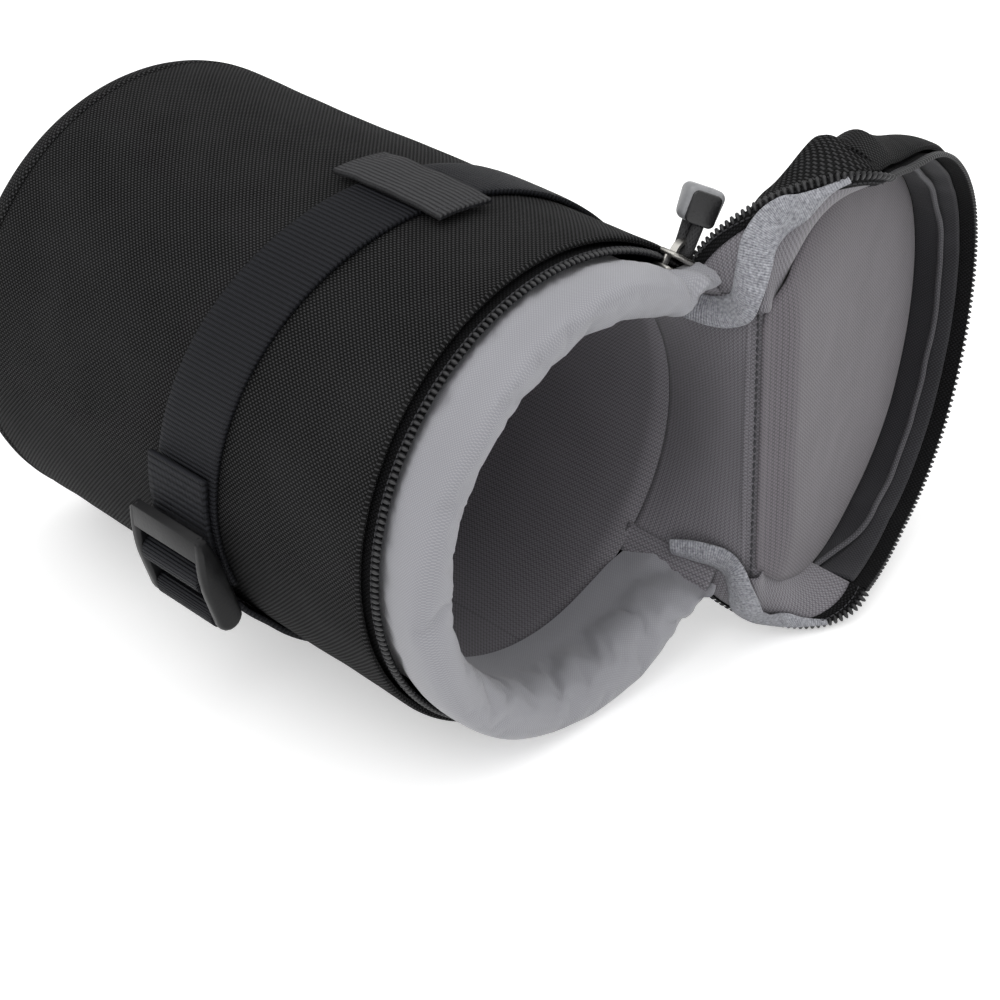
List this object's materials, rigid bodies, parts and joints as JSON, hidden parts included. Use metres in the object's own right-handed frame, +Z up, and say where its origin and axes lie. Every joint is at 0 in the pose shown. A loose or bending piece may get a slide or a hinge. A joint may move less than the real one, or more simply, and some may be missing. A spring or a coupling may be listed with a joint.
{
  "type": "lens pouch",
  "caption": "Padded cylindrical camera lens pouch lying on its side, with a zipped fold-back lid, padded collar, corded zip pull and a webbing strap with a ladder-lock buckle",
  "frame": {"origin": "middle of the flat strip of the underside that the pouch rests on, half way along the body", "axes": "+X out of the mouth along the pouch's axis, +Y to the hinge and lid side, +Z up"},
  "size_m": [0.1854, 0.2123, 0.123],
  "materials": {
    "woven_black": "coarse woven polyester",
    "lining_grey": "smooth nylon lining",
    "collar_grey": "soft nylon over foam",
    "foam": "closed-cell foam",
    "zip_tape": "knitted tape",
    "zip_teeth": "nylon coil",
    "webbing": "ribbed webbing",
    "pull_cord": "braided cord",
    "slider_metal": "nickel plate",
    "grip_plastic": "moulded, soft gloss",
    "buckle_plastic": "satin moulded acetal"
  },
  "bodies": {
    "body": {"body_shell": "woven_black", "wall_foam": "foam", "body_lining": "lining_grey", "base_panel": "woven_black", "base_foam": "foam", "base_lining": "lining_grey", "collar_cover": "collar_grey", "collar_foam": "foam", "zip_tape_body": "zip_tape", "zip_teeth_body": "zip_teeth", "hinge_outer": "woven_black", "hinge_lining": "lining_grey", "hinge_foam": "foam", "gusset_upper": "woven_black", "gusset_lower": "woven_black", "strap_main": "webbing", "strap_anchor": "webbing", "keeper_tab": "webbing"},
    "lid": {"lid_panel": "woven_black", "lid_foam": "foam", "lid_lining": "lining_grey", "lid_rim": "woven_black", "lid_rim_lining": "lining_grey", "zip_tape_lid": "zip_tape", "zip_teeth_lid": "zip_teeth"},
    "slider": {"slider_body": "slider_metal"},
    "pull": {"pull_cord": "pull_cord", "pull_grip": "grip_plastic"},
    "buckle": {"buckle_frame": "buckle_plastic", "strap_fold": "webbing"}
  },
  "joints": [
    {"name": "lid_hinge", "type": "hinge", "parent": "body", "child": "lid", "pos_m": [0.098, 0.04236, 0.06072], "axis": [0, -0.0523, 0.9986], "range_deg": [-197, 0], "deforming": ["gusset_upper", "gusset_lower"]},
    {"name": "slider_travel", "type": "hinge", "parent": "body", "child": "slider", "pos_m": [0.078, 0, 0.0585], "axis": [1, 0, 0], "range_deg": [0, 260]},
    {"name": "pull_swing", "type": "hinge", "parent": "slider", "child": "pull", "pos_m": [0.078, 0.03739, 0.10746], "axis": [1, 0, 0], "range_deg": [-75, 60]},
    {"name": "buckle_tilt", "type": "hinge", "parent": "body", "child": "buckle", "pos_m": [0.01588, -0.06014, 0.02913], "axis": [1, 0, 0], "range_deg": [0, 40]}
  ]
}
